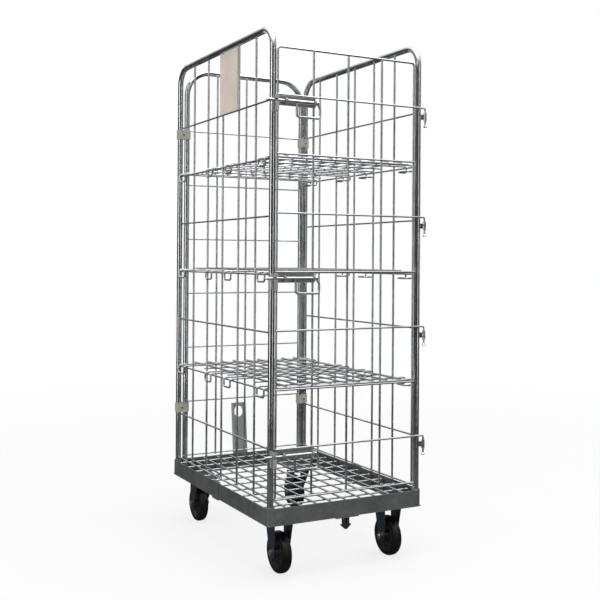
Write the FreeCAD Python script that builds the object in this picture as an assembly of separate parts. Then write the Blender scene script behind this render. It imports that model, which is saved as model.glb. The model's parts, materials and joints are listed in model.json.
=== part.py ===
import FreeCAD, Part
import math
import os

os.makedirs("parts", exist_ok=True)

# Roll cage container: a wheeled base with two side panels, a back panel, a hinged gate and three
# shelves that swing up. Millimetres. The origin is on the floor under the centre of the base, +Z is up,
# the gate faces -Y and the label plate is on the -X side panel.

# Driving dimensions
overall_height = 1700.0
post_x = 268.0              # side post centres, from the middle of the cage
post_y = 391.0
tube_radius = 10.0
tube_wall = 1.6
wire_radius = 3.0           # horizontal wires
rod_radius = 3.5            # vertical wires
weld_depth = 0.5            # how far crossing wires sink into each other at a weld
fit_gap = 0.08              # radial clearance of everything that turns or slides
seat_gap = 0.3              # clearance of parts that plug into each other

# Base
base_bottom = 170.0
rail_height = 54.0
rail_wall = 3.0
flange_width = 32.0
base_overhang = 14.0        # rail face beyond the post centres
splice_y = 16.0
sleeve_length = 43.0
deck_rod_radius = 3.0
deck_long_pitch = 53.6
deck_long_count = 9
deck_cross_pitch = 79.0
deck_cross_count = 10
deck_cross_centre_y = 14.0

# Wire panels
side_wire_first = 401.0
side_wire_pitch = 178.0
side_bottom_wire = 235.0
side_bend_radius = 62.0
side_upright_count = 5
back_x = 244.0              # back panel tubes
back_y = 384.0
back_wire_first = 240.0
back_wire_pitch = 204.0
back_bend_radius = 92.0
wire_levels = 7
back_upright_count = 3

# Gate
gate_y = -post_y - tube_radius - wire_radius - 0.4
gate_left = -255.4
gate_right = 246.0
gate_bottom = 251.0
gate_wire_first = 403.0
gate_wire_pitch = 180.0
gate_top = 1629.0
hinge_x = post_x + 19.5
hinge_pin_length = 60.0
hinge_eye_drop = 14.5       # top of a hinge eye below its gate wire
hinge_eye_height = 28.0
hinge_strap_thickness = 4.0
hinge_eye_wall = 2.4

# Latches
bolt_radius = 4.5           # where it lies in the keeper
bolt_body_radius = 6.0      # between and beyond the ears
bolt_drop = 20.0            # bolt axis below its gate wire
bolt_reach = 10.0           # bolt axis in front of the latch plate
keeper_width = 12.0
keeper_above = 15.0         # keeper's top and bottom, from the bolt axis
keeper_below = 33.0
keeper_wall = 3.0

# Shelves
shelf_rod_radius = 3.0
shelf_half_width = 236.0
shelf_long_pitch = 52.5
shelf_long_count = 9
shelf_cross_places = (-210.0, 0.0, 210.0)   # plain cross rods between the hook pairs
shelf_front = -378.0
shelf_back = 369.0
shelf_front_pitch = 6.5     # between the two front edge rods
hook_half_width = 25.0
hook_drop = 23.0            # left hooks hang this far below the side wire
hook_tuck_drop = 14.0       # right hooks turn back in this far below it
hook_tuck = 24.0
hook_standoff = 10.0
hook_bend_radius = 8.0
hook_centres = (-337.0, -82.0, 82.0, 337.0)

# Castors
wheel_radius = 65.0
tyre_width = 32.0
castor_inset_x = 65.0       # castor centre, in from the post centres
castor_inset_front = 65.0
castor_inset_rear = 79.0
trail = 32.0
axle_radius = 6.0
castor_plate_thickness = 4.0
castor_bolt_x = 44.0        # bolt holes, from the castor's centre
castor_bolt_y = 28.0
small_screw_radius = 3.0

base_top = base_bottom + rail_height
rail_face_x = post_x + base_overhang
rail_face_y = post_y + base_overhang
vertical_inset = wire_radius + rod_radius - weld_depth
castor_x = post_x - castor_inset_x
castor_y = {-1: castor_inset_front - post_y, 1: post_y - castor_inset_rear}
plate_bottom = base_bottom - castor_plate_thickness


def vec(x, y, z):
    return FreeCAD.Vector(x, y, z)


def box(x0, x1, y0, y1, z0, z1):
    low = vec(min(x0, x1), min(y0, y1), min(z0, z1))
    return Part.makeBox(abs(x1 - x0), abs(y1 - y0), abs(z1 - z0), low)


def rod(start, end, radius):
    """A straight round bar between two points."""
    along = end.sub(start)
    return Part.makeCylinder(radius, along.Length, start, along)


def path_wire(points, bend_radius):
    """A polyline whose inner corners are rounded to one bend radius."""
    edges = []
    last = points[0]
    for before, corner, after in zip(points, points[1:], points[2:]):
        into = corner.sub(before).normalize()
        out = after.sub(corner).normalize()
        turn = into.getAngle(out)
        setback = bend_radius * math.tan(turn / 2)
        arc_start = corner.sub(into * setback)
        arc_end = corner.add(out * setback)
        towards_centre = out.sub(into).normalize()
        centre = corner.add(towards_centre * (bend_radius / math.cos(turn / 2)))
        arc_middle = centre.sub(towards_centre * bend_radius)
        if arc_start.distanceToPoint(last) > 0.01:
            edges.append(Part.makeLine(last, arc_start))
        edges.append(Part.Arc(arc_start, arc_middle, arc_end).toShape())
        last = arc_end
    if points[-1].distanceToPoint(last) > 0.01:
        edges.append(Part.makeLine(last, points[-1]))
    return Part.Wire(edges)


def bent_rod(points, bend_radius, radius):
    """A round bar bent along a polyline."""
    spine = path_wire(points, bend_radius)
    circle = Part.makeCircle(radius, points[0], points[1].sub(points[0]))
    return spine.makePipeShell([Part.Wire(circle)], True, False)


def bent_tube(points, bend_radius, radius, wall):
    return bent_rod(points, bend_radius, radius).cut(bent_rod(points, bend_radius, radius - wall))


def weld(shapes):
    """One solid from shapes that meet at their welds."""
    body = shapes[0].multiFuse(shapes[1:])
    return body.removeSplitter() if body.isValid() else body


def turned(profile, centre):
    """A solid of revolution from (radius, offset) points about an axis along X."""
    corners = [vec(centre.x + offset, centre.y, centre.z + radius) for radius, offset in profile]
    face = Part.Face(Part.makePolygon(corners + corners[:1]))
    return face.revolve(centre, vec(1, 0, 0), 360)


def hexagon(centre, direction, across_flats, height):
    """A hexagonal prism that starts at centre and grows along direction."""
    corner_radius = across_flats / math.sqrt(3)
    corners = []
    for step in range(7):
        angle = math.radians(60 * step)
        corners.append(vec(corner_radius * math.cos(angle), corner_radius * math.sin(angle), 0))
    bar = Part.Face(Part.makePolygon(corners)).extrude(vec(0, 0, height))
    bar.Placement = FreeCAD.Placement(centre, FreeCAD.Rotation(vec(0, 0, 1), direction))
    return bar


def prism(corners, along):
    """A solid with a flat polygonal end face, drawn out along a vector."""
    return Part.Face(Part.makePolygon(corners + corners[:1])).extrude(along)


def hex_fastener(x, y, shank, head, nut):
    """An upright hexagon bolt and its nut. Shank is (radius, low, high), head and nut are
    (across flats, low, high)."""
    radius, low, high = shank
    shapes = [rod(vec(x, y, low), vec(x, y, high), radius)]
    for across_flats, bottom, top in (head, nut):
        shapes.append(hexagon(vec(x, y, bottom), vec(0, 0, 1), across_flats, top - bottom))
    return weld(shapes)


def mirrored_x(shape):
    return shape.mirror(vec(0, 0, 0), vec(1, 0, 0))


def export(node, shapes):
    solids = []
    for shape in shapes:
        solids.extend(shape.Solids)
    whole = solids[0] if len(solids) == 1 else Part.makeCompound(solids)
    whole.exportStep("parts/" + node + ".step")
    print(node, len(solids), all(solid.isValid() for solid in solids))


# ---------------------------------------------------------------- base

socket_outer = 14.0
socket_bore = tube_radius + seat_gap
socket_floor = base_bottom + rail_wall
inner_socket_height = 36.0
corner_plate_reach_x = 56.0     # inner edges of a corner plate, from the castor's centre
corner_plate_reach_y = 46.0
screw_hole_radius = small_screw_radius + 0.2
rivet_clearance_radius = 11.0
splice_gap = 0.1
splice_bolt_radius = 4.0
splice_bolt_inset = 18.0
splice_bolt_back = 22.0


def corner_socket(x, y, top):
    """The upright sleeve that a panel tube plugs into, open at the top."""
    outer = Part.makeCylinder(socket_outer, top - base_bottom, vec(x, y, base_bottom))
    bore = Part.makeCylinder(socket_bore, top - socket_floor, vec(x, y, socket_floor))
    return outer, bore


def angle_rail_y(side, y0, y1):
    """A length of side rail: an upright leg with a flange turned inwards at the bottom."""
    face = side * rail_face_x
    leg = box(face, face - side * rail_wall, y0, y1, base_bottom, base_top)
    flange = box(face, face - side * flange_width, y0, y1, base_bottom, base_bottom + rail_wall)
    return leg.fuse(flange)


def angle_rail_x(end):
    face = end * rail_face_y
    leg = box(-post_x, post_x, face, face - end * rail_wall, base_bottom, base_top)
    flange = box(-post_x, post_x, face, face - end * flange_width, base_bottom, base_bottom + rail_wall)
    return leg.fuse(flange)


def corner_plate(side, end):
    """The flat plate in a corner of the base that carries a castor."""
    inner_y = castor_y[end] - end * corner_plate_reach_y
    return box(side * (castor_x - corner_plate_reach_x), side * (rail_face_x - 1),
               inner_y, end * (rail_face_y - 1), base_bottom, base_bottom + rail_wall)


def castor_bolt_places(side, end):
    """The four bolt centres of one castor."""
    places = []
    for dx in (-castor_bolt_x, castor_bolt_x):
        for dy in (-castor_bolt_y, castor_bolt_y):
            places.append((side * castor_x + dx, castor_y[end] + dy))
    return places


def floor_hole(x, y, radius):
    """An upright hole through everything at the level of the base's flanges."""
    return Part.makeCylinder(radius, 20, vec(x, y, base_bottom - 10))


def base_half(end):
    """What makes up half of the base frame: one cross rail, two half side rails, sockets and
    corner plates, and the holes to cut in them."""
    outers = [angle_rail_x(end)]
    bores = []
    for side in (-1, 1):
        outers.append(angle_rail_y(side, end * post_y, splice_y + end))
        outers.append(corner_plate(side, end))
        sockets = [(side * post_x, end * post_y, base_top + 2)]
        if end > 0:
            sockets.append((side * back_x, back_y, base_bottom + inner_socket_height))
            outers.extend(joining_sleeve(side))
        for x, y, top in sockets:
            outer, bore = corner_socket(x, y, top)
            outers.append(outer)
            bores.append(bore)
        for x, y in castor_bolt_places(side, end):
            bores.append(floor_hole(x, y, screw_hole_radius))
        bores.append(floor_hole(side * castor_x, castor_y[end], rivet_clearance_radius))
        bores.append(floor_hole(*splice_place(side), splice_bolt_radius + 0.2))
    return outers, bores


def joining_sleeve(side):
    """The raised end of a rear side rail that wraps round the end of the front one."""
    face = side * (rail_face_x + splice_gap)
    outside = side * (rail_face_x + splice_gap + rail_wall)
    under_edge = side * (rail_face_x - flange_width)
    y0 = splice_y - sleeve_length
    y1 = splice_y + 6
    joint = splice_y + 1
    low = base_bottom - splice_gap - rail_wall
    high = base_top + splice_gap + rail_wall
    plate = box(face, outside, y0, y1, low, high)
    under = box(outside, under_edge, y0, y1, low, low + rail_wall)
    lip = box(outside, side * (rail_face_x - 7), y0, y1, high - rail_wall, high)
    bridge = box(side * (rail_face_x - 1), outside, joint, y1, low, high)
    under_bridge = box(outside, under_edge, joint, y1, low, base_bottom + 1)
    return [plate, under, lip, bridge, under_bridge]


def splice_place(side):
    return side * (rail_face_x - splice_bolt_inset), splice_y - splice_bolt_back


def splice_bolt(side):
    """A hexagon bolt and nut that clamp a joining sleeve to the front rail."""
    x, y = splice_place(side)
    head_top = base_bottom - splice_gap - rail_wall
    nut_bottom = base_bottom + rail_wall
    return hex_fastener(x, y, (splice_bolt_radius, head_top, nut_bottom + 9),
                        (13, head_top - 5.3, head_top), (13, nut_bottom, nut_bottom + 6.5))


def front_base_frame():
    outers, bores = base_half(-1)
    for x, y in hitch_screw_places:
        bores.append(floor_hole(x, y, screw_hole_radius))
    bores.append(catch_hole())
    return weld(outers).cut(Part.makeCompound(bores))


def rear_base_frame():
    outers, bores = base_half(1)
    for x, z in tow_rivet_places:
        bores.append(rod(vec(x, rail_face_y - 8, z), vec(x, rail_face_y + 8, z), tow_rivet_radius))
    return weld(outers).cut(Part.makeCompound(bores))


def deck_grid():
    """Welded grid on top of the base; every rod end is turned down inside the rails."""
    long_z = base_top - deck_rod_radius - 0.5
    cross_z = long_z - 2 * deck_rod_radius + weld_depth
    foot_z = base_bottom + rail_wall + 4
    end_y = rail_face_y - rail_wall - deck_rod_radius - 0.2
    end_x = rail_face_x - rail_wall - deck_rod_radius - 0.2
    rods = []
    for i in range(deck_long_count):
        x = (i - (deck_long_count - 1) / 2) * deck_long_pitch
        rods.append(staple(vec(x, -end_y, long_z), vec(x, end_y, long_z), foot_z))
    for i in range(deck_cross_count):
        y = deck_cross_centre_y + (i - (deck_cross_count - 1) / 2) * deck_cross_pitch
        rods.append(staple(vec(-end_x, y, cross_z), vec(end_x, y, cross_z), foot_z))
    return weld(rods)


def staple(start, end, foot_z):
    """A straight deck rod with both ends turned down to foot_z."""
    points = [vec(start.x, start.y, foot_z), start, end, vec(end.x, end.y, foot_z)]
    return bent_rod(points, 3 * deck_rod_radius, deck_rod_radius)


# ---------------------------------------------------------------- side and back panels

tube_foot = socket_floor + 0.2
tube_top = overall_height - tube_radius
butt = tube_wall * 0.6      # how far a wire end sinks into a tube wall


def side_panel():
    """The -X side panel: a bent tube arch filled with welded wires."""
    corners = [vec(-post_x, -post_y, tube_foot), vec(-post_x, -post_y, tube_top),
               vec(-post_x, post_y, tube_top), vec(-post_x, post_y, tube_foot)]
    shapes = [bent_tube(corners, side_bend_radius, tube_radius, tube_wall)]
    reach = post_y - tube_radius + butt
    levels = [side_bottom_wire] + [side_wire_first + side_wire_pitch * k for k in range(wire_levels)]
    for z in levels:
        shapes.append(rod(vec(-post_x, -reach, z), vec(-post_x, reach, z), wire_radius))
    x = -post_x + vertical_inset
    top = tube_top - math.sqrt(tube_radius ** 2 - vertical_inset ** 2) + butt
    for i in range(side_upright_count):
        y = -post_y + 2 * post_y * (i + 1) / (side_upright_count + 1)
        shapes.append(rod(vec(x, y, side_bottom_wire - rod_radius), vec(x, y, top), rod_radius))
    return weld(shapes)


def back_panel():
    """The back panel: a narrower arch with rounder shoulders between the rear posts."""
    corners = [vec(-back_x, back_y, tube_foot), vec(-back_x, back_y, tube_top),
               vec(back_x, back_y, tube_top), vec(back_x, back_y, tube_foot)]
    shapes = [bent_tube(corners, back_bend_radius, tube_radius, tube_wall)]
    reach = back_x - tube_radius + butt
    for k in range(wire_levels):
        z = back_wire_first + back_wire_pitch * k
        shapes.append(rod(vec(-reach, back_y, z), vec(reach, back_y, z), wire_radius))
    y = back_y - vertical_inset
    top = tube_top - math.sqrt(tube_radius ** 2 - vertical_inset ** 2) + butt
    for i in range(back_upright_count):
        x = -back_x + 2 * back_x * (i + 1) / (back_upright_count + 1)
        shapes.append(rod(vec(x, y, back_wire_first - rod_radius), vec(x, y, top), rod_radius))
    return weld(shapes)


clip_half_height = 17.0
clip_wall = 3.5
clip_heights = {"lower": 423.0, "upper": 1449.0}
clip_screw_radius = 2.0
clip_screw_head_radius = 4.2
clip_screw_head_height = 2.6


def clip_frame(side):
    """Middle between a side post and a back tube, and the unit vector from post to tube."""
    post = vec(side * post_x, post_y, 0)
    tube = vec(side * back_x, back_y, 0)
    along = tube.sub(post).normalize()
    return (post + tube) * 0.5, along, vec(-along.y, along.x, 0)


def corner_clip(side, z):
    """A moulded block that ties a rear side post to the back panel tube beside it."""
    low = z - clip_half_height
    height = 2 * clip_half_height
    centre, along, across = clip_frame(side)
    outer_radius = tube_radius + clip_wall
    post = vec(side * post_x, post_y, low)
    tube = vec(side * back_x, back_y, low)
    waist = []
    for start, sign in ((post, 1), (tube, 1), (tube, -1), (post, -1)):
        waist.append(start.add(across * (sign * outer_radius)))
    body = Part.Face(Part.makePolygon(waist + waist[:1])).extrude(vec(0, 0, height))
    for place in (post, tube):
        body = body.fuse(Part.makeCylinder(outer_radius, height, place))
    body = body.removeSplitter()
    for place in (post, tube):
        body = body.cut(Part.makeCylinder(tube_radius + 0.05, height, place))
    wire_z = back_wire_first + (wire_levels - 1) * back_wire_pitch
    wire_slot = rod(vec(side * (back_x - 9), back_y, wire_z), vec(side * (back_x - 16), back_y, wire_z),
                    wire_radius + seat_gap)
    middle = vec(centre.x, centre.y, z)
    screw_hole = rod(middle.sub(across * 30), middle.add(across * 30), clip_screw_radius)
    return body.cut(Part.makeCompound([wire_slot, screw_hole]))


def clip_screw(side, z):
    """A pan head screw through the waist of a clip, head inside the cage."""
    centre, along, across = clip_frame(side)
    middle = vec(centre.x, centre.y, z)
    inward = across if across.y < 0 else across * -1
    face = tube_radius + clip_wall
    head_start = middle.add(inward * face)
    shank = rod(middle.sub(inward * (face - 1)), head_start, clip_screw_radius)
    head = Part.makeCylinder(clip_screw_head_radius, clip_screw_head_height, head_start, inward)
    head = head.makeChamfer(0.8, [head.Edges[0]])
    return weld([shank, head])


label_front_y = -126.0
label_back_y = 18.0
label_thickness = 1.6
label_lip = 8.0


def label_plate():
    """A blank label holder with turned-in edges, on the outside of the -X panel's uprights."""
    inside = -post_x + vertical_inset - rod_radius
    outside = inside - label_thickness
    bottom = side_wire_first + (wire_levels - 1) * side_wire_pitch + wire_radius + 0.4
    top = tube_top - tube_radius - 2
    shapes = [box(outside, inside, label_front_y, label_back_y, bottom, top)]
    for y in (label_front_y, label_back_y - label_thickness):
        shapes.append(box(outside, inside + label_lip, y, y + label_thickness, bottom, top))
    return weld(shapes)


# ---------------------------------------------------------------- gate and latches

gate_rod_y = gate_y + vertical_inset
gate_levels = [gate_wire_first + gate_wire_pitch * k for k in range(wire_levels)]
hinge_levels = gate_levels[0::2]
latch_levels = {"lower": gate_levels[0], "middle": gate_levels[3], "upper": gate_levels[6]}
latch_plate_left = gate_left - rod_radius
latch_plate_right = gate_left + (gate_right - gate_left) / 4 + rod_radius
latch_plate_thickness = 2.4
latch_plate_front = gate_rod_y - rod_radius - latch_plate_thickness
latch_plate_below = 13.0    # lower edge below the bolt axis
bolt_y = latch_plate_front - bolt_reach
ear_left = -238.0
ear_right = -138.0
ear_thickness = 6.0
ear_radius = 10.0
handle_left = -197.0
handle_right = -116.0
handle_rod_radius = 4.0
handle_drop = 46.0
bolt_tip = -post_x - tube_radius - 24
bolt_tip_length = 9.0
bolt_body_left = ear_left + ear_thickness + 3
bolt_body_right = handle_right - 6


def gate():
    """The gate: a bent rod frame with upright rods behind horizontal wires, four of which are
    drawn out past the post and turned down as hinge pins."""
    low = gate_bottom - wire_radius
    frame = [vec(gate_left, gate_rod_y, low), vec(gate_left, gate_rod_y, gate_top),
             vec(gate_right, gate_rod_y, gate_top), vec(gate_right, gate_rod_y, low)]
    shapes = [bent_rod(frame, 10, rod_radius)]
    for i in (1, 2, 3):
        x = gate_left + (gate_right - gate_left) * i / 4
        shapes.append(rod(vec(x, gate_rod_y, low), vec(x, gate_rod_y, gate_top), rod_radius))
    for z in [gate_bottom] + gate_levels:
        start = vec(gate_left - rod_radius, gate_y, z)
        if z in hinge_levels:
            pin_end = vec(hinge_x, gate_y, z - hinge_pin_length)
            shapes.append(bent_rod([start, vec(hinge_x, gate_y, z), pin_end], 2.2 * wire_radius,
                                   wire_radius))
            shapes.append(pin_head(pin_end))
        else:
            shapes.append(rod(start, vec(gate_right + rod_radius, gate_y, z), wire_radius))
    return weld(shapes)


def pin_head(place):
    """The upset head that keeps a hinge pin in its eye."""
    head_radius = 6.2
    upper = Part.makeCone(head_radius, wire_radius, 4, place)
    lower = Part.makeCone(head_radius - 1.5, head_radius, 3, place.sub(vec(0, 0, 3)))
    return upper.fuse(lower)


def hinge_bracket(level):
    """A strap welded to the front right post, rolled into an eye round a hinge pin."""
    bottom = level - hinge_eye_drop - hinge_eye_height
    pin = vec(hinge_x, gate_y, bottom)
    post = vec(post_x, -post_y, bottom)
    towards_pin = pin.sub(post).normalize()
    half_thickness = vec(-towards_pin.y, towards_pin.x, 0) * (hinge_strap_thickness / 2)
    start = post.add(towards_pin * (tube_radius - 1))
    corners = [start + half_thickness, start - half_thickness,
               pin - half_thickness, pin + half_thickness]
    web_inset = hinge_eye_height / 5
    web = prism(corners, vec(0, 0, hinge_eye_height - 2 * web_inset))
    web.translate(vec(0, 0, web_inset))
    eye = Part.makeCylinder(wire_radius + hinge_eye_wall, hinge_eye_height, pin)
    bore = Part.makeCylinder(wire_radius + fit_gap, hinge_eye_height, pin)
    tube = Part.makeCylinder(tube_radius, hinge_eye_height, post)
    return eye.fuse(web).cut(bore).cut(tube).removeSplitter()


def latch_plate(level):
    """The back plate of a latch, welded to two gate rods, with two ears that guide the bolt."""
    z = level - bolt_drop
    shapes = [box(latch_plate_left, latch_plate_right, latch_plate_front,
                  latch_plate_front + latch_plate_thickness, level - wire_radius - 0.4,
                  z - latch_plate_below)]
    bores = []
    for x, radius in ((ear_left, bolt_radius), (ear_right, bolt_body_radius)):
        start = vec(x, bolt_y, z)
        shapes.append(Part.makeCylinder(ear_radius, ear_thickness, start, vec(1, 0, 0)))
        shapes.append(box(x, x + ear_thickness, bolt_y, latch_plate_front + 1,
                          z - ear_radius, z + ear_radius))
        bores.append(Part.makeCylinder(radius + fit_gap, ear_thickness, start, vec(1, 0, 0)))
    return weld(shapes).cut(Part.makeCompound(bores))


def latch_bolt(level):
    """The sliding bolt: a pointed bar, a thicker body and a hanging D handle."""
    z = level - bolt_drop
    bar_left = bolt_tip + bolt_tip_length
    tip = Part.makeCone(1.8, bolt_radius, bolt_tip_length, vec(bolt_tip, bolt_y, z), vec(1, 0, 0))
    bar = rod(vec(bar_left, bolt_y, z), vec(bolt_body_left, bolt_y, z), bolt_radius)
    body = rod(vec(bolt_body_left, bolt_y, z), vec(bolt_body_right, bolt_y, z), bolt_body_radius)
    loop = [(handle_left, z), (handle_left, z - handle_drop), (handle_right, z - handle_drop),
            (handle_right, z - handle_drop / 3), (bolt_body_right - 3, z)]
    handle = bent_rod([vec(x, bolt_y, height) for x, height in loop], 9, handle_rod_radius)
    return weld([tip, bar, body, handle])


def keeper(level):
    """The keeper on the front left post: a slotted bracket that the bolt lies in. Its mouth is
    open to the front."""
    z = level - bolt_drop
    low = z - keeper_below
    high = z + keeper_above
    x0 = -post_x - keeper_width / 2
    x1 = -post_x + keeper_width / 2
    back = -post_y - 6
    front = bolt_y - bolt_radius - 4
    slot = bolt_radius + 0.4
    shapes = [box(x0, x1, back, bolt_y + bolt_radius + keeper_wall, low, high)]
    for sign, end in ((-1, low), (1, high)):
        lip = z + sign * slot
        shapes.append(box(x0, x1, front, back, lip, lip + sign * keeper_wall))
        shapes.append(box(x0, x1, front, front + keeper_wall, lip, end))
    post = Part.makeCylinder(tube_radius, high - low, vec(-post_x, -post_y, low))
    return weld(shapes).cut(post)


# ---------------------------------------------------------------- shelves

def hook_rod(side, y, side_wire_z, cross_z):
    """One half of a hook pair: a rod that runs out over the side wire and back again. On the
    left it hangs down in a loop, on the right it turns back in under the wire."""
    outside = side * (post_x + hook_standoff)
    front = y - hook_half_width
    back = y + hook_half_width
    if side < 0:
        bends = [(outside, side_wire_z - hook_drop)]
    else:
        tuck_z = side_wire_z - hook_tuck_drop
        bends = [(outside, tuck_z), (post_x - hook_tuck, tuck_z)]
    way_out = [(0, cross_z), (outside, cross_z)] + bends
    points = [vec(x, front, z) for x, z in way_out]
    points += [vec(x, back, z) for x, z in reversed(way_out)]
    return bent_rod(points, hook_bend_radius, shelf_rod_radius)


def shelf(level):
    """A welded shelf grid of long rods on four hook pairs, plain cross rods and edge rods."""
    side_wire_z = side_wire_first + side_wire_pitch * level
    cross_z = side_wire_z + wire_radius + shelf_rod_radius + 0.1
    long_z = cross_z + 2 * shelf_rod_radius - weld_depth
    shapes = []
    for y in hook_centres:
        for side in (-1, 1):
            shapes.append(hook_rod(side, y, side_wire_z, cross_z))
    edge = shelf_half_width + shelf_rod_radius
    for y in (shelf_front, shelf_front + shelf_front_pitch, *shelf_cross_places, shelf_back):
        shapes.append(rod(vec(-edge, y, cross_z), vec(edge, y, cross_z), shelf_rod_radius))
    for i in range(shelf_long_count):
        x = (i - (shelf_long_count - 1) / 2) * shelf_long_pitch
        start = vec(x, shelf_front - shelf_rod_radius, long_z)
        shapes.append(rod(start, vec(x, shelf_back + shelf_rod_radius, long_z), shelf_rod_radius))
    return weld(shapes)


# ---------------------------------------------------------------- coupling parts

tow_width = 58.0
tow_wall = 4.0
tow_flange = 11.0
tow_lean = 6.0              # degrees back from upright
tow_hinge_z = 196.0
tow_y = rail_face_y + 12
tow_pin_radius = 4.0
tow_barrel_radius = 7.5
tow_rivet_radius = 2.6
tow_rivet_places = [(x, z) for x in (-42.0, 42.0) for z in (182.0, 210.0)]
tow_top = 417.0             # heights of the bar before it leans
tow_eye_z = 383.0
tow_eye_radius = 18.0
tow_eye_stretch = 3.0
tow_ear_inner = tow_width / 2 + 1
tow_ear_outer = tow_width / 2 + 5
tow_bracket_half = 48.0


def tow_bar():
    """A channel section bar with an oval eye, leaning back from a hinge behind the cage."""
    half = tow_width / 2
    back = tow_y + tow_wall / 2
    shapes = [box(-half, half, back - tow_wall, back, tow_hinge_z, tow_top),
              rod(vec(-half, tow_y, tow_hinge_z), vec(half, tow_y, tow_hinge_z), tow_barrel_radius)]
    flange_bottom = tow_hinge_z + 2 * tow_barrel_radius
    for side in (-1, 1):
        shapes.append(box(side * half, side * (half - tow_wall), back - tow_flange, back,
                          flange_bottom, tow_top))
    pin_bore = tow_pin_radius + fit_gap
    bores = [rod(vec(-half, tow_y, tow_hinge_z), vec(half, tow_y, tow_hinge_z), pin_bore),
             box(-tow_eye_radius, tow_eye_radius, tow_y - 9, tow_y + 9,
                 tow_eye_z - tow_eye_stretch, tow_eye_z + tow_eye_stretch)]
    for z in (tow_eye_z - tow_eye_stretch, tow_eye_z + tow_eye_stretch):
        bores.append(rod(vec(0, tow_y - 9, z), vec(0, tow_y + 9, z), tow_eye_radius))
    bar = weld(shapes)
    for bore in bores:
        bar = bar.cut(bore)
    bar.rotate(vec(0, tow_y, tow_hinge_z), vec(1, 0, 0), -tow_lean)
    return bar


def tow_bracket():
    """Two ears on a plate riveted to the rear rail; they hold the tow bar's pin."""
    plate_back = rail_face_y + rail_wall
    shapes = [box(-tow_bracket_half, tow_bracket_half, rail_face_y, plate_back,
                  base_bottom + 2, base_top - 2)]
    for side in (-1, 1):
        inner = side * tow_ear_inner
        outer = side * tow_ear_outer
        shapes.append(box(inner, outer, plate_back - 1, tow_y, tow_hinge_z - 9, tow_hinge_z + 9))
        shapes.append(rod(vec(inner, tow_y, tow_hinge_z), vec(outer, tow_y, tow_hinge_z), 9))
    bores = [rod(vec(-60, tow_y, tow_hinge_z), vec(60, tow_y, tow_hinge_z), tow_pin_radius)]
    for x, z in tow_rivet_places:
        bores.append(rod(vec(x, rail_face_y - 8, z), vec(x, rail_face_y + 8, z), tow_rivet_radius))
    return weld(shapes).cut(Part.makeCompound(bores))


def tow_pin():
    """The headed pin of the tow bar, its far end riveted over."""
    steps = [(-tow_ear_outer - 2, -tow_ear_outer, 5.4), (-tow_ear_outer, tow_ear_outer, tow_pin_radius),
             (tow_ear_outer, tow_ear_outer + 3, 6.5)]
    return weld([rod(vec(x0, tow_y, tow_hinge_z), vec(x1, tow_y, tow_hinge_z), radius)
                 for x0, x1, radius in steps])


def tow_rivets():
    """Four rivets that hold the tow bracket to the rear rail."""
    inner = rail_face_y - rail_wall
    outer = rail_face_y + rail_wall
    steps = [(inner - 2, inner, 4.6), (inner, outer, tow_rivet_radius), (outer, outer + 2, 4.6)]
    rivets = []
    for x, z in tow_rivet_places:
        rivets.append(weld([rod(vec(x, y0, z), vec(x, y1, z), radius) for y0, y1, radius in steps]))
    return rivets


hitch_y = -rail_face_y + 15
hitch_plate_thickness = 4.0
hitch_plate_half = 42.0
hitch_screw_places = [(x, -rail_face_y + 18) for x in (-29.0, 29.0)]
catch_thickness = 11.0
catch_neck_half = 11.0
catch_arrow_half = 19.0
catch_head_half = 16.0


def hitch_bracket():
    """The plate under the front rail that carries the catch."""
    bottom = base_bottom - hitch_plate_thickness
    plate = box(-hitch_plate_half, hitch_plate_half, -rail_face_y + 2, -rail_face_y + flange_width,
                bottom, base_bottom)
    holes = [floor_hole(x, y, small_screw_radius) for x, y in hitch_screw_places]
    return plate.cut(Part.makeCompound(holes + [catch_hole()]))


def catch_hole():
    """The slot for the catch, through the hitch bracket and the rail's flange."""
    half_x = catch_neck_half + 0.1
    half_y = catch_thickness / 2 + 0.1
    return box(-half_x, half_x, hitch_y - half_y, hitch_y + half_y, base_bottom - 10, base_bottom + 10)


def hitch_catch():
    """A split arrow that snaps through the eye of another cage's tow bar."""
    tip = base_bottom - 45
    shoulder = base_bottom - 28
    seat = base_bottom + rail_wall + 0.2
    head = seat + 6
    right = [(0, tip), (catch_arrow_half, shoulder), (catch_neck_half, shoulder),
             (catch_neck_half, seat), (catch_head_half, seat), (catch_head_half, head)]
    left = [(-x, z) for x, z in reversed(right[1:])]
    y0 = hitch_y - catch_thickness / 2
    body = prism([vec(x, y0, z) for x, z in right + left], vec(0, catch_thickness, 0))
    split = box(-2, 2, hitch_y - 10, hitch_y + 10, tip - 5, base_bottom - 4)
    bridge = box(-4, 4, y0, y0 + catch_thickness, tip + 4, tip + 10)
    return body.cut(split).fuse(bridge).removeSplitter()


def hitch_screws():
    """Two hexagon screws that hold the hitch bracket under the rail."""
    low = base_bottom - hitch_plate_thickness
    return [small_hex_screw(x, y, low) for x, y in hitch_screw_places]


def small_hex_screw(x, y, low):
    """An upright screw with its head under something and its nut on the base's flange."""
    nut_bottom = base_bottom + rail_wall
    return hex_fastener(x, y, (small_screw_radius, low, nut_bottom + 7), (10, low - 4, low),
                        (10, nut_bottom, nut_bottom + 5))


# ---------------------------------------------------------------- castors

leg_thickness = 3.2
leg_top_half = 31.0         # inner face of a fork leg at the crown
leg_axle_half = 24.0        # and at the axle
core_half_width = 22.5
leg_crown_half_depth = 31.0
leg_eye_radius = 17.0
bush_radius = 9.0
axle_head_flats = 19.0
axle_seat = leg_axle_half + leg_thickness - 0.5     # where the bolt head and nut bear
crown_top = base_bottom - 12.5
crown_thickness = 7.0


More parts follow.
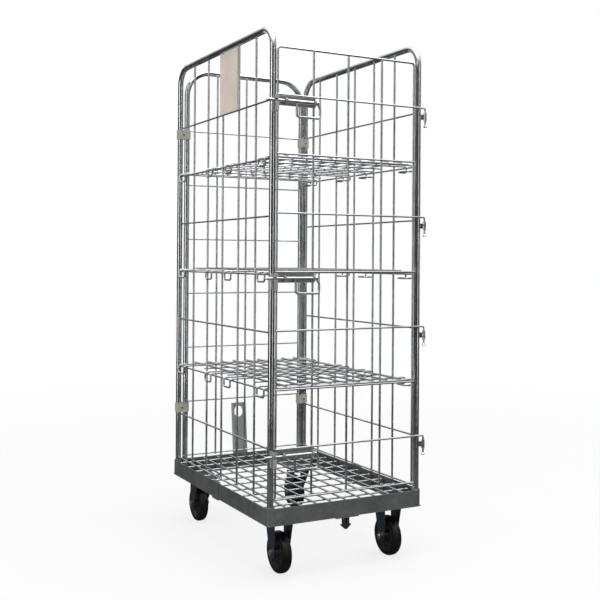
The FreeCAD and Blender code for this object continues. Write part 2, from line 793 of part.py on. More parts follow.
def fork_leg(side, top_y, axle_y, top_z):
    """One tapered fork leg, leaning in towards the axle, in the fork's own place at x = 0."""
    lean = math.atan2(leg_top_half - leg_axle_half, top_z - wheel_radius)
    outline = [(top_y - leg_crown_half_depth, top_z), (top_y + leg_crown_half_depth, top_z),
               (axle_y + leg_eye_radius, wheel_radius), (axle_y - leg_eye_radius, wheel_radius)]
    leg = prism([vec(0, y, z) for y, z in outline], vec(leg_thickness, 0, 0))
    eye = Part.makeCylinder(leg_eye_radius, leg_thickness, vec(0, axle_y, wheel_radius), vec(1, 0, 0))
    leg = leg.fuse(eye)
    leg.translate(vec(leg_axle_half, 0, 0))
    leg.rotate(vec(leg_axle_half, axle_y, wheel_radius), vec(0, 1, 0), math.degrees(lean))
    return leg if side > 0 else mirrored_x(leg)


def fork(centre_x, top_y, axle_y, top_z, crown):
    """Two legs under a crown or plate, bored for the axle."""
    shapes = [crown]
    for side in (-1, 1):
        leg = fork_leg(side, top_y, axle_y, top_z + 4)
        leg.translate(vec(centre_x, 0, 0))
        shapes.append(leg)
    body = weld(shapes)
    above = box(centre_x - 60, centre_x + 60, top_y - 60, top_y + 60, top_z, top_z + 20)
    keep = crown.fuse(body.cut(above))
    middle = vec(centre_x, axle_y, wheel_radius)
    bore = rod(middle.sub(vec(60, 0, 0)), middle.add(vec(60, 0, 0)), axle_radius)
    return keep.cut(bore).cut(axle_flats(middle)).removeSplitter()


def axle_flats(middle):
    """What is cut from the leaning legs so that the bolt head and nut sit flat."""
    cutters = []
    for side in (-1, 1):
        start = middle.add(vec(side * axle_seat, 0, 0))
        cutters.append(rod(start, start.add(vec(side * 20, 0, 0)), axle_head_flats / 2 + 1.5))
    return Part.makeCompound(cutters)


def castor_plate(side, end):
    """The flat bolt-on plate of a castor, with rounded corners and four bolt holes."""
    half_x = castor_bolt_x + 8
    half_y = castor_bolt_y + 12
    cx = side * castor_x
    cy = castor_y[end]
    plate = box(cx - half_x, cx + half_x, cy - half_y, cy + half_y, plate_bottom, base_bottom)
    upright = [edge for edge in plate.Edges if abs(edge.Vertexes[0].Z - edge.Vertexes[1].Z) > 1]
    plate = plate.makeFillet(8, upright)
    holes = [floor_hole(x, y, small_screw_radius) for x, y in castor_bolt_places(side, end)]
    return plate.cut(Part.makeCompound(holes))


def fixed_fork(side):
    y = castor_y[-1]
    return fork(side * castor_x, y, y, plate_bottom, castor_plate(side, -1))


ball_radius = 3.5
ball_ring_radius = 23.0
ball_count = 16
ball_z = crown_top + 1.0


def race_groove(side):
    """The torus that both halves of a ball race are hollowed by."""
    centre = vec(side * castor_x, castor_y[1], ball_z)
    return Part.makeTorus(ball_ring_radius, ball_radius + 0.05, centre)


def swivel_plate(side):
    """The top plate of a swivel castor with the upper half of its ball race."""
    cx = side * castor_x
    cup_bottom = ball_z + 0.8
    cup = Part.makeCylinder(30, plate_bottom - cup_bottom, vec(cx, castor_y[1], cup_bottom))
    bore = Part.makeCylinder(axle_radius, 60, vec(cx, castor_y[1], crown_top - 20))
    return castor_plate(side, 1).fuse(cup).cut(race_groove(side)).cut(bore).removeSplitter()


def swivel_fork(side):
    """The swivelling fork, its crown carrying the lower half of the ball race."""
    cx = side * castor_x
    crown = Part.makeCylinder(33, crown_thickness, vec(cx, castor_y[1], crown_top - crown_thickness))
    bore = Part.makeCylinder(axle_radius + fit_gap, 60, vec(cx, castor_y[1], crown_top - 40))
    leg_top = crown_top - crown_thickness + 2
    body = fork(cx, castor_y[1], castor_y[1] + trail, leg_top, crown)
    return body.cut(race_groove(side)).cut(bore).removeSplitter()


def ball_race(side):
    """The ring of balls between a swivel plate and its fork."""
    balls = []
    for i in range(ball_count):
        angle = 2 * math.pi * i / ball_count
        x = side * castor_x + ball_ring_radius * math.cos(angle)
        y = castor_y[1] + ball_ring_radius * math.sin(angle)
        balls.append(Part.makeSphere(ball_radius, vec(x, y, ball_z)))
    return balls


def kingpin(side):
    """The pin that a swivel fork turns on, riveted into the top plate."""
    place = vec(side * castor_x, castor_y[1], crown_top - crown_thickness - 0.1)
    shank = Part.makeCylinder(axle_radius, base_bottom - place.z, place)
    head = Part.makeCone(7, 11, 4, place.sub(vec(0, 0, 4)))
    rivet = Part.makeCone(9, 7, 2.5, vec(place.x, place.y, base_bottom))
    return weld([shank, head, rivet])


rim_radius = 47.0
tyre_shoulder = 11.0


def tyre(cx, cy):
    """A solid rubber tyre with a rounded tread."""
    low = vec(cx - tyre_width / 2, cy, wheel_radius)
    ring = Part.makeCylinder(wheel_radius, tyre_width, low, vec(1, 0, 0))
    girth = 2 * math.pi * wheel_radius
    rims = [edge for edge in ring.Edges if edge.Closed and abs(edge.Length - girth) < 1]
    ring = ring.makeFillet(tyre_shoulder, rims)
    return ring.cut(Part.makeCylinder(rim_radius, tyre_width, low, vec(1, 0, 0)))


def wheel_core(cx, cy):
    """The moulded wheel centre: hub, web and rim in one turned piece."""
    inner = bush_radius + fit_gap
    rim_half = tyre_width / 2 - 1
    one_side = [(inner, core_half_width), (16, core_half_width), (18, 8), (38, 5), (40, rim_half),
                (rim_radius, rim_half)]
    profile = one_side + [(radius, -offset) for radius, offset in reversed(one_side)]
    return turned(profile, vec(cx, cy, wheel_radius))


def wheel_bush(cx, cy):
    """The steel sleeve that the wheel centre runs on, clamped between the fork legs."""
    half = leg_axle_half - 0.8
    start = vec(cx - half, cy, wheel_radius)
    outer = Part.makeCylinder(bush_radius, 2 * half, start, vec(1, 0, 0))
    return outer.cut(Part.makeCylinder(axle_radius + 0.02, 2 * half, start, vec(1, 0, 0)))


def axle_bolt(cx, cy, side):
    """A hexagon head axle bolt, head on the outside of the cage."""
    start = vec(cx + side * axle_seat, cy, wheel_radius)
    end = vec(cx - side * (axle_seat + 13), cy, wheel_radius)
    head = hexagon(start, vec(side, 0, 0), axle_head_flats, 7.5)
    return weld([rod(start, end, axle_radius), head])


def axle_nut(cx, cy, side):
    """The lock nut on the inner end of the axle bolt."""
    start = vec(cx - side * axle_seat, cy, wheel_radius)
    nut = hexagon(start, vec(-side, 0, 0), axle_head_flats, 10)
    return nut.cut(rod(start, start.sub(vec(side * 20, 0, 0)), axle_radius))


def castor_bolts():
    """Sixteen bolts with nuts that hold the castor plates to the base."""
    bolts = []
    for side in (-1, 1):
        for end in (-1, 1):
            for x, y in castor_bolt_places(side, end):
                bolts.append(small_hex_screw(x, y, plate_bottom))
    return bolts


# ---------------------------------------------------------------- the assembly

export("front_base_frame", [front_base_frame()])
export("rear_base_frame", [rear_base_frame()])
export("splice_bolts", [splice_bolt(-1), splice_bolt(1)])
export("deck_grid", [deck_grid()])

left_panel = side_panel()
export("left_side_panel", [left_panel])
export("right_side_panel", [mirrored_x(left_panel)])
export("back_panel", [back_panel()])
for side, side_name in ((-1, "left"), (1, "right")):
    for height_name, z in clip_heights.items():
        export("rear_" + side_name + "_" + height_name + "_clip", [corner_clip(side, z)])
export("clip_screws", [clip_screw(side, z) for side in (-1, 1) for z in clip_heights.values()])
export("label_plate", [label_plate()])

export("gate", [gate()])
export("hinge_brackets", [hinge_bracket(level) for level in hinge_levels])
export("latch_keepers", [keeper(level) for level in latch_levels.values()])
for name, level in latch_levels.items():
    export(name + "_latch_plate", [latch_plate(level)])
    export(name + "_latch_bolt", [latch_bolt(level)])

for name, level in (("lower", 1), ("middle", 3), ("upper", 5)):
    export(name + "_shelf", [shelf(level)])

export("tow_bar", [tow_bar()])
export("tow_bracket", [tow_bracket()])
export("tow_pin", [tow_pin()])
export("tow_rivets", tow_rivets())
export("hitch_bracket", [hitch_bracket()])
export("hitch_catch", [hitch_catch()])
export("hitch_screws", hitch_screws())

for side, side_name in ((-1, "left"), (1, "right")):
    cx = side * castor_x
    export("front_" + side_name + "_fork", [fixed_fork(side)])
    export("rear_" + side_name + "_swivel_plate", [swivel_plate(side)])
    export("rear_" + side_name + "_ball_race", ball_race(side))
    export("rear_" + side_name + "_kingpin", [kingpin(side)])
    export("rear_" + side_name + "_fork", [swivel_fork(side)])
    for end_name, cy in (("front", castor_y[-1]), ("rear", castor_y[1] + trail)):
        corner = end_name + "_" + side_name
        export(corner + "_tyre", [tyre(cx, cy)])
        export(corner + "_wheel_core", [wheel_core(cx, cy)])
        export(corner + "_axle", [axle_bolt(cx, cy, side), axle_nut(cx, cy, side)])
        export(corner + "_bush", [wheel_bush(cx, cy)])
export("castor_bolts", castor_bolts())
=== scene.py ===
"""The looks of the roll cage container: materials, moulded and turned parts, floor, light, camera."""

import json
import math

import bmesh
import bpy
from mathutils import Matrix, Vector


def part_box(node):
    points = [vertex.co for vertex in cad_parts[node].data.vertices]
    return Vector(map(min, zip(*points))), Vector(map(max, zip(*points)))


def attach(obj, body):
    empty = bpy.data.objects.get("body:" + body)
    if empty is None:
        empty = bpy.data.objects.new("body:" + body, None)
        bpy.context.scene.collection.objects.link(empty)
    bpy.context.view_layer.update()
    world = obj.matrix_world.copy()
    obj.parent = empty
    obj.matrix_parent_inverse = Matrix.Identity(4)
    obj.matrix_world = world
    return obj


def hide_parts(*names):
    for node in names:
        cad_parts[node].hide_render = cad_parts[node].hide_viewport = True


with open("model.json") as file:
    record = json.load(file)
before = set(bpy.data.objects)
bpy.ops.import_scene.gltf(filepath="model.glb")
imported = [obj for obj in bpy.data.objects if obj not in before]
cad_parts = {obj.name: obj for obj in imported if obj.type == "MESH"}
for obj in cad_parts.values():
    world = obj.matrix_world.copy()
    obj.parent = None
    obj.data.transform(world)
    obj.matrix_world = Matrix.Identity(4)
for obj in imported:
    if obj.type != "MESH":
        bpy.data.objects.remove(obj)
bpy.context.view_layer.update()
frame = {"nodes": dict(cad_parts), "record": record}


mm = 0.001
LEVELS = ("lower", "middle", "upper")
WHEELS = [end + "_" + side for end in ("front", "rear") for side in ("left", "right")]


# ---------------------------------------------------------------- node helpers

def set_stops(ramp_node, stops):
    """Gives a colour ramp its stops; each is a position and a colour."""
    ramp = ramp_node.color_ramp
    while len(ramp.elements) < len(stops):
        ramp.elements.new(0.5)
    for element, (position, colour) in zip(ramp.elements, stops):
        element.position = position
        element.color = (*colour, 1)


class Nodes:
    """A thin wrapper that builds one material's node tree."""

    def __init__(self, name):
        self.material = bpy.data.materials.new(name)
        self.material.use_nodes = True
        self.tree = self.material.node_tree
        self.tree.nodes.clear()
        self.out = self.add("ShaderNodeOutputMaterial")
        self.surface = self.add("ShaderNodeBsdfPrincipled")
        self.link(self.surface, "BSDF", self.out, "Surface")
        self.coords = self.add("ShaderNodeTexCoord")

    def add(self, kind, **values):
        """Adds a node and sets its inputs and properties by name."""
        node = self.tree.nodes.new(kind)
        for key, value in values.items():
            if key in node.inputs:
                node.inputs[key].default_value = value
            else:
                setattr(node, key, value)
        return node

    def link(self, source, output, target, target_input):
        """Connects an output of one node to an input of another."""
        self.tree.links.new(source.outputs[output], target.inputs[target_input])

    def noise(self, scale, detail=4.0, roughness=0.6, stretch=(1, 1, 1)):
        """A noise pattern with features about 1/scale metres across."""
        mapping = self.add("ShaderNodeMapping")
        mapping.inputs["Scale"].default_value = stretch
        self.link(self.coords, "Object", mapping, "Vector")
        node = self.add("ShaderNodeTexNoise", Scale=scale, Detail=detail, Roughness=roughness)
        self.link(mapping, "Vector", node, "Vector")
        return node

    def ramp(self, source, output, stops):
        """A colour ramp over one output."""
        node = self.add("ShaderNodeValToRGB")
        set_stops(node, stops)
        self.link(source, output, node, "Fac")
        return node

    def grey_range(self, source, output, low, high, start=0.3, end=0.7):
        """Runs from low to high while an output runs from start to end."""
        node = self.add("ShaderNodeMapRange")
        node.inputs["From Min"].default_value = start
        node.inputs["From Max"].default_value = end
        node.inputs["To Min"].default_value = low
        node.inputs["To Max"].default_value = high
        self.link(source, output, node, "Value")
        return node

    def mix(self, factor, colour_a, colour_b, blend="MIX"):
        """Mixes two colours. Each argument is a value, a (node, output) pair or a mix node."""
        node = self.add("ShaderNodeMix", data_type="RGBA", blend_type=blend)
        for name, value in (("Factor", factor), ("A", colour_a), ("B", colour_b)):
            socket = [s for s in node.inputs if s.name == name and s.enabled][0]
            if isinstance(value, bpy.types.Node):
                self.tree.links.new(self.mix_result(value), socket)
            elif isinstance(value, tuple) and isinstance(value[0], bpy.types.Node):
                self.tree.links.new(value[0].outputs[value[1]], socket)
            elif name == "Factor":
                socket.default_value = value
            else:
                socket.default_value = (*value, 1)
        return node

    def mix_result(self, node):
        """The colour output of a mix node."""
        return [s for s in node.outputs if s.enabled][0]

    def set_colour(self, mix_node):
        """Makes a mix node the base colour."""
        self.tree.links.new(self.mix_result(mix_node), self.surface.inputs["Base Color"])

    def two_tone(self, pattern, dark, pale, pale_from=0.7):
        """Makes the base colour run from dark to pale over a pattern."""
        tones = self.ramp(pattern, "Fac", [(0.3, dark), (pale_from, pale)])
        self.link(tones, "Color", self.surface, "Base Color")

    def roughness(self, pattern, low, high):
        """Makes the roughness run from low to high over a pattern."""
        rough = self.grey_range(pattern, "Fac", low, high)
        self.link(rough, "Result", self.surface, "Roughness")

    def rounded(self, radius):
        """A normal that looks rounded off at sharp edges."""
        return self.add("ShaderNodeBevel", Radius=radius, samples=4)

    def bump(self, layers, rounding=0.0):
        """Stacks bump layers; each is (node, output, depth in metres)."""
        last = self.rounded(rounding) if rounding else None
        for node, output, depth in layers:
            bump = self.add("ShaderNodeBump", Strength=1.0, Distance=depth)
            self.link(node, output, bump, "Height")
            if last is not None:
                self.link(last, "Normal", bump, "Normal")
            last = bump
        self.link(last, "Normal", self.surface, "Normal")

    def edge_highlight_mask(self, radius=1.8 * mm):
        """Painted highlight mask: white along sharp edges, where a rounded normal and the true one
        disagree.
        """
        geometry = self.add("ShaderNodeNewGeometry")
        agreement = self.add("ShaderNodeVectorMath", operation="DOT_PRODUCT")
        self.link(geometry, "Normal", agreement, 0)
        self.link(self.rounded(radius), "Normal", agreement, 1)
        return self.grey_range(agreement, "Value", 1.0, 0.0, 0.90, 0.99)


# ---------------------------------------------------------------- materials

BLACK = (0.0, 0.0, 0.0)


def grey(level):
    """A neutral colour."""
    return (level, level, level)


def zinc(name, tint, dark, rough_low, rough_high, grain, edge=0.0):
    """Zinc plating: a clean metal with faint cloudy patches, soiled specks and a fine grain."""
    n = Nodes(name)
    cloud = n.noise(16, 4, 0.55)
    fine = n.noise(260, 2, 0.5)
    spots = n.noise(190, 3, 0.7)
    base = n.ramp(cloud, "Fac", [(0.30, dark), (0.66, tint)])
    speck = n.ramp(spots, "Fac", [(0.64, BLACK), (0.82, grey(0.25))])
    soil = [value * 0.6 for value in dark]
    n.set_colour(n.mix((speck, "Color"), (base, "Color"), soil))
    n.surface.inputs["Metallic"].default_value = 1.0
    n.roughness(cloud, rough_low, rough_high)
    n.bump([(fine, "Fac", grain)], edge)
    return n.material


def scuffed_zinc_edge_highlight(name, dark, pale, edge_highlight, metallic, rough_low, rough_high):
    """Dull hot dipped zinc: mottled crystals, matt, with scuffs, and sharp edges painted lighter as a
    painted highlight.
    """
    n = Nodes(name)
    crystals = n.add("ShaderNodeTexVoronoi", Scale=140.0, Randomness=1.0)
    n.link(n.coords, "Object", crystals, "Vector")
    cloud = n.noise(9, 6, 0.6)
    scuff = n.noise(40, 6, 0.75, (1, 1, 5))
    base = n.ramp(cloud, "Fac", [(0.3, dark), (0.7, pale)])
    shade = n.add("ShaderNodeRGBToBW")
    n.link(crystals, "Color", shade, "Color")
    mottled = n.mix(0.14, (base, "Color"), (shade, "Val"), "OVERLAY")
    # painted highlight: the colour turns lighter along sharp edges
    n.set_colour(n.mix((n.edge_highlight_mask(), "Result"), mottled, edge_highlight))
    n.surface.inputs["Metallic"].default_value = metallic
    n.roughness(scuff, rough_low, rough_high)
    n.bump([(crystals, "Distance", 0.05 * mm), (scuff, "Fac", 0.07 * mm)], 0.9 * mm)
    return n.material


def castor_zinc():
    """Blue passivated zinc on pressed castor steel, with a faint yellow bloom and a painted highlight
    that lightens the edges.
    """
    n = Nodes("castor_zinc")
    cloud = n.noise(30, 5, 0.6)
    bloom = n.noise(70, 3, 0.6)
    dark_blue = (0.055, 0.074, 0.096)
    pale_blue = (0.115, 0.142, 0.170)
    yellow_bloom = (0.17, 0.165, 0.135)
    edge_highlight_colour = (0.34, 0.37, 0.40)
    base = n.ramp(cloud, "Fac", [(0.3, dark_blue), (0.7, pale_blue)])
    patches = n.ramp(bloom, "Fac", [(0.55, BLACK), (0.8, grey(0.3))])
    bloomed = n.mix((patches, "Color"), (base, "Color"), yellow_bloom)
    # painted highlight: edges mixed towards a pale blue-grey
    n.set_colour(n.mix((n.edge_highlight_mask(1.4 * mm), "Result"), bloomed, edge_highlight_colour))
    n.surface.inputs["Metallic"].default_value = 0.9
    n.roughness(cloud, 0.28, 0.46)
    n.bump([(n.noise(600, 3, 0.6), "Fac", 0.03 * mm)], 0.8 * mm)
    return n.material


def black_iron():
    """Blackened iron with a coarse sandy skin."""
    n = Nodes("black_iron")
    sand = n.noise(420, 4, 0.7)
    n.two_tone(sand, (0.010, 0.010, 0.011), (0.045, 0.044, 0.043), 0.75)
    n.surface.inputs["Metallic"].default_value = 0.3
    n.roughness(sand, 0.45, 0.7)
    n.bump([(sand, "Fac", 0.18 * mm)])
    return n.material


def label_sheet():
    """Pale beige paint on sheet, cloudy, with a little orange peel."""
    n = Nodes("label_sheet")
    cloud = n.noise(14, 4, 0.6)
    peel = n.noise(700, 2, 0.5)
    n.two_tone(cloud, (0.63, 0.55, 0.47), (0.72, 0.64, 0.555))
    n.roughness(cloud, 0.38, 0.55)
    n.bump([(peel, "Fac", 0.03 * mm)])
    return n.material


def clip_plastic():
    """Beige moulded nylon, slightly translucent, fine spark-eroded texture and grime."""
    n = Nodes("clip_plastic")
    spark = n.noise(1500, 3, 0.6)
    grime = n.noise(60, 5, 0.7)
    n.two_tone(grime, (0.27, 0.255, 0.205), (0.42, 0.40, 0.33))
    n.surface.inputs["Subsurface Weight"].default_value = 0.08
    n.surface.inputs["Subsurface Radius"].default_value = (2 * mm, 1.5 * mm, 1 * mm)
    n.roughness(grime, 0.42, 0.6)
    n.bump([(spark, "Fac", 0.05 * mm)])
    return n.material


def tyre_rubber():
    """Black rubber, a little dusty, with fine mould grain."""
    n = Nodes("tyre_rubber")
    dust = n.noise(55, 6, 0.7)
    grain = n.noise(1100, 3, 0.6)
    tones = n.ramp(dust, "Fac", [(0.35, grey(0.002)), (0.8, (0.0095, 0.0090, 0.0085))])
    n.link(tones, "Color", n.surface, "Base Color")
    n.surface.inputs["Specular IOR Level"].default_value = 0.30
    n.roughness(dust, 0.22, 0.40)
    n.bump([(grain, "Fac", 0.04 * mm)])
    return n.material


def wheel_plastic():
    """Dark grey moulded wheel centre."""
    n = Nodes("wheel_plastic")
    grime = n.noise(45, 5, 0.7)
    grain = n.noise(1300, 2, 0.6)
    n.two_tone(grime, (0.004, 0.0044, 0.005), (0.014, 0.0145, 0.016), 0.75)
    n.surface.inputs["Specular IOR Level"].default_value = 0.40
    n.roughness(grime, 0.24, 0.40)
    n.bump([(grain, "Fac", 0.03 * mm)])
    return n.material


# The third colour given to each scuffed zinc is the painted highlight along its edges.
materials = {
    "galvanised_wire": zinc("zinc_wire", (0.70, 0.72, 0.73), (0.58, 0.60, 0.61), 0.12, 0.20,
                            0.001 * mm),
    "galvanised_plate": scuffed_zinc_edge_highlight("zinc_plate", (0.34, 0.34, 0.30), (0.46, 0.46, 0.41),
                                  (0.66, 0.66, 0.62), 0.55, 0.36, 0.52),
    "bright_zinc": zinc("bright_zinc", (0.74, 0.75, 0.76), (0.56, 0.58, 0.60), 0.14, 0.26,
                        0.003 * mm, 0.6 * mm),
    "base_steel": scuffed_zinc_edge_highlight("rail_zinc", (0.150, 0.162, 0.154), (0.235, 0.250, 0.238),
                            (0.42, 0.44, 0.43), 0.70, 0.30, 0.48),
    "castor_steel": castor_zinc(),
    "black_iron": black_iron(),
    "label_paint": label_sheet(),
    "clip_plastic": clip_plastic(),
    "tyre_rubber": tyre_rubber(),
    "wheel_plastic": wheel_plastic(),
}
tow_zinc = scuffed_zinc_edge_highlight("tow_zinc", (0.30, 0.32, 0.29), (0.42, 0.44, 0.41), (0.62, 0.64, 0.60),
                     0.25, 0.36, 0.52)
latch_zinc = scuffed_zinc_edge_highlight("latch_zinc", (0.17, 0.18, 0.155), (0.26, 0.27, 0.24), (0.52, 0.53, 0.50),
                       0.55, 0.30, 0.46)
weld_zinc = zinc("weld_zinc", (0.50, 0.51, 0.52), (0.30, 0.31, 0.32), 0.26, 0.40, 0.02 * mm)


def dress_cad_nodes():
    """Gives every CAD node the material of its slot, with a few plates plated differently."""
    special = {"tow_bar": tow_zinc, "hinge_brackets": materials["bright_zinc"]}
    for level in LEVELS:
        special[level + "_latch_plate"] = latch_zinc
    slots = {part["node"]: part["material_slot"] for part in frame["record"]["subparts"]}
    for name, node in frame["nodes"].items():
        for place in node.material_slots:
            place.material = special.get(name, materials[slots[name]])


# ---------------------------------------------------------------- tyres and wheel centres

WHEEL_RADIUS = 65 * mm
RIM_RADIUS = 47 * mm            # where the tyre sits on the wheel centre
TYRE_HALF = 16 * mm             # half the tyre's width
SHOULDER = 11 * mm              # radius of the tyre's round shoulder
SHOULDER_STEPS = 12
HUB_HALF = 22.4 * mm            # half the hub's length
HUB_BORE = 9.1 * mm             # radius


def piece_from(name, mesh, material, body):
    """Makes a shown piece of a mesh, in its place, riding on a body."""
    mesh.materials.append(material)
    piece = bpy.data.objects.new(name, mesh)
    bpy.context.scene.collection.objects.link(piece)
    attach(piece, body)
    return piece


def lathe(name, profile, centre, steps=96):
    """A closed (radius, offset) outline turned about an axis along X through centre."""
    mesh = bpy.data.meshes.new(name)
    build = bmesh.new()
    rings = []
    for k in range(steps):
        angle = 2 * math.pi * k / steps
        rings.append([build.verts.new((centre.x + offset, centre.y + radius * math.sin(angle),
                                       centre.z + radius * math.cos(angle)))
                      for radius, offset in profile])
    for k in range(steps):
        this, following = rings[k], rings[(k + 1) % steps]
        for i in range(len(profile)):
            j = (i + 1) % len(profile)
            face = build.faces.new((this[i], following[i], following[j], this[j]))
            face.smooth = True
    bmesh.ops.recalc_face_normals(build, faces=build.faces)
    build.to_mesh(mesh)
    build.free()
    return mesh


def mirrored_outline(one_side):
    """Completes an outline given from the bore outwards on the +X side."""
    return one_side + [(radius, -offset) for radius, offset in reversed(one_side)]


def tyre_outline():
    """Sidewall with a raised ring and a groove, a round shoulder, and a fine parting ridge."""
    ring = [(0, 2), (0.6, 0.6), (1.6, 0), (2.6, 0), (3.2, 0.9), (4.2, 0.9), (4.9, 0.2)]
    points = [(RIM_RADIUS + out * mm, TYRE_HALF - deep * mm) for out, deep in ring]
    points.append((WHEEL_RADIUS - SHOULDER, TYRE_HALF))
    for step in range(1, SHOULDER_STEPS + 1):
        angle = math.radians(90 * step / SHOULDER_STEPS)
        lip = 0.35 * mm if step == SHOULDER_STEPS // 2 else 0.0
        points.append((WHEEL_RADIUS - SHOULDER + (SHOULDER + lip) * math.sin(angle),
                       TYRE_HALF - SHOULDER + (SHOULDER + lip) * math.cos(angle)))
    points += [(WHEEL_RADIUS, 0.7 * mm), (WHEEL_RADIUS + 0.3 * mm, 0.25 * mm)]
    return mirrored_outline(points)


def wheel_centre_outline():
    """Bore, long hub, a web dished in steps, and a rounded rim lip."""
    web = [(16.6, 11), (18, 8.6), (20, 8), (24, 7.6), (24.6, 6.6), (30, 6.2)]
    ridge = [(30.5, 7.2), (32.5, 7.2), (33, 6), (38, 5.4)]
    rim = [(39.4, 6.6), (40.6, 12.6), (41.4, 14.6), (42.6, 15.2), (45.4, 15.2), (46.5, 14.4)]
    points = [(HUB_BORE, HUB_HALF - 0.8 * mm), (HUB_BORE + 0.8 * mm, HUB_HALF),
              (15 * mm, HUB_HALF), (16 * mm, HUB_HALF - 1 * mm)]
    points += [(radius * mm, offset * mm) for radius, offset in web + ridge + rim]
    points.append((RIM_RADIUS - 0.05 * mm, 13 * mm))
    return mirrored_outline(points)


def wheels():
    """A detailed tyre and wheel centre on each wheel body, in place of the plain CAD ones."""
    for wheel in WHEELS:
        low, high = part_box(wheel + "_tyre")
        centre = (Vector(low) + Vector(high)) / 2
        body = wheel + "_wheel"
        turned = [("_tyre_rubber", tyre_outline(), "tyre_rubber", "_tyre"),
                  ("_wheel_centre", wheel_centre_outline(), "wheel_plastic", "_wheel_core")]
        for ending, outline, slot_name, replaced in turned:
            mesh = lathe(wheel + ending, outline, centre)
            piece = piece_from(wheel + ending, mesh, materials[slot_name], body)
            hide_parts(wheel + replaced)


# ---------------------------------------------------------------- weld nuggets

POST_X = 268 * mm               # centres of the corner posts
POST_Y = 391 * mm
TUBE = 10 * mm                  # radius of the posts and arches
WIRE = 3 * mm                   # radius of the wires and shelf rods
PANEL_TOP = 1700 * mm
PANEL_UPRIGHTS = 5
UPRIGHT_INSET = 6 * mm          # the panel's uprights stand this far inside its wires
WIRE_COUNT = 7                  # evenly spaced wires, above the lowest one
PANEL_LOWEST = 235 * mm
PANEL_FIRST = 401 * mm
PANEL_PITCH = 178 * mm

BACK_POST_X = 244 * mm
BACK_POST_Y = 384 * mm
BACK_FIRST = 240 * mm
BACK_PITCH = 204 * mm

GATE_WIRE_Y = -404.4 * mm
GATE_LEFT = -255.4 * mm
GATE_RIGHT = 246 * mm
GATE_RODS = 5
GATE_LOWEST = 251 * mm
GATE_FIRST = 403 * mm
GATE_PITCH = 180 * mm

SHELF_REACH = 210 * mm          # outermost long rods of a shelf
SHELF_LONG_RODS = 9
SHELF_CROSS_RODS = [y * mm for y in (-378, -371.5, -210, 0, 210, 369)]
SHELF_HOOKS = [y * mm for y in (-337, -82, 82, 337)]
HOOK_HALF_WIDTH = 25 * mm


def nuggets(name, body, places):
    """One mesh of small rounded weld nuggets. Each place is (centre, radii along X, Y and Z)."""
    mesh = bpy.data.meshes.new(name)
    build = bmesh.new()
    for centre, radii in places:
        shape = Matrix.Translation(centre) @ Matrix.Diagonal((*radii, 1))
        bmesh.ops.create_icosphere(build, subdivisions=2, radius=1.0, matrix=shape)
    for face in build.faces:
        face.smooth = True
    build.to_mesh(mesh)
    build.free()
    return piece_from(name, mesh, weld_zinc, body)


def spread(count, reach):
    """count evenly spaced values from -reach to reach."""
    return [reach * (2 * i / (count - 1) - 1) for i in range(count)]


def inner_spread(count, reach):
    """count evenly spaced values between -reach and reach, without the ends."""
    return spread(count + 2, reach)[1:-1]


def wire_levels(first, pitch):
    """Heights of the evenly spaced wires of a panel."""
    return [first + pitch * i for i in range(WIRE_COUNT)]


def side_panel_welds(name, side):
    """Nuggets where the wires cross the uprights, collars where they meet the posts."""
    crossing = (1.5 * mm, 4.2 * mm, 3.4 * mm)
    collar = (4.1 * mm, 1.6 * mm, 4.1 * mm)
    cap = (4.8 * mm, 4.8 * mm, 1.8 * mm)
    cap_z = PANEL_TOP - 2 * TUBE + 1.5 * mm
    uprights = inner_spread(PANEL_UPRIGHTS, POST_Y)
    places = []
    for z in [PANEL_LOWEST] + wire_levels(PANEL_FIRST, PANEL_PITCH):
        for y in uprights:
            places.append((Vector((side * (POST_X - WIRE), y, z)), crossing))
        for y in (-POST_Y + TUBE, POST_Y - TUBE):
            places.append((Vector((side * POST_X, y, z)), collar))
    for y in uprights:
        places.append((Vector((side * (POST_X - UPRIGHT_INSET), y, cap_z)), cap))
    nuggets(name, "root", places)


def back_panel_welds():
    """Collars where the back panel's wires meet its side tubes."""
    collar = (1.6 * mm, 4.1 * mm, 4.1 * mm)
    places = []
    for z in wire_levels(BACK_FIRST, BACK_PITCH):
        for side in (-1, 1):
            places.append((Vector((side * (BACK_POST_X - TUBE), BACK_POST_Y, z)), collar))
    nuggets("back_panel_welds", "root", places)


def gate_welds():
    """Nuggets where the gate's wires cross its upright rods."""
    crossing = (4.2 * mm, 1.5 * mm, 3.4 * mm)
    places = []
    for z in [GATE_LOWEST] + wire_levels(GATE_FIRST, GATE_PITCH):
        for i in range(GATE_RODS):
            x = GATE_LEFT + (GATE_RIGHT - GATE_LEFT) * i / (GATE_RODS - 1)
            places.append((Vector((x, GATE_WIRE_Y + WIRE, z)), crossing))
    nuggets("gate_welds", "gate", places)


def shelf_welds(level, wire_z):
    """Nuggets at every crossing of a shelf's long rods and cross rods."""
    crossing = (3.5 * mm, 3.5 * mm, 1.5 * mm)
    cross_z = wire_z + 2 * WIRE + 0.1 * mm
    cross_y = list(SHELF_CROSS_RODS)
    for hook in SHELF_HOOKS:
        cross_y += [hook - HOOK_HALF_WIDTH, hook + HOOK_HALF_WIDTH]
    places = []
    for x in spread(SHELF_LONG_RODS, SHELF_REACH):
        for y in cross_y:
            places.append((Vector((x, y, cross_z + WIRE)), crossing))
    nuggets(level + "_shelf_welds", level + "_shelf", places)


dress_cad_nodes()
wheels()
side_panel_welds("left_side_welds", -1)
side_panel_welds("right_side_welds", 1)
back_panel_welds()
gate_welds()
for index, level in enumerate(LEVELS):
    shelf_welds(level, PANEL_FIRST + PANEL_PITCH * (2 * index + 1))


# ---------------------------------------------------------------- floor, light, camera

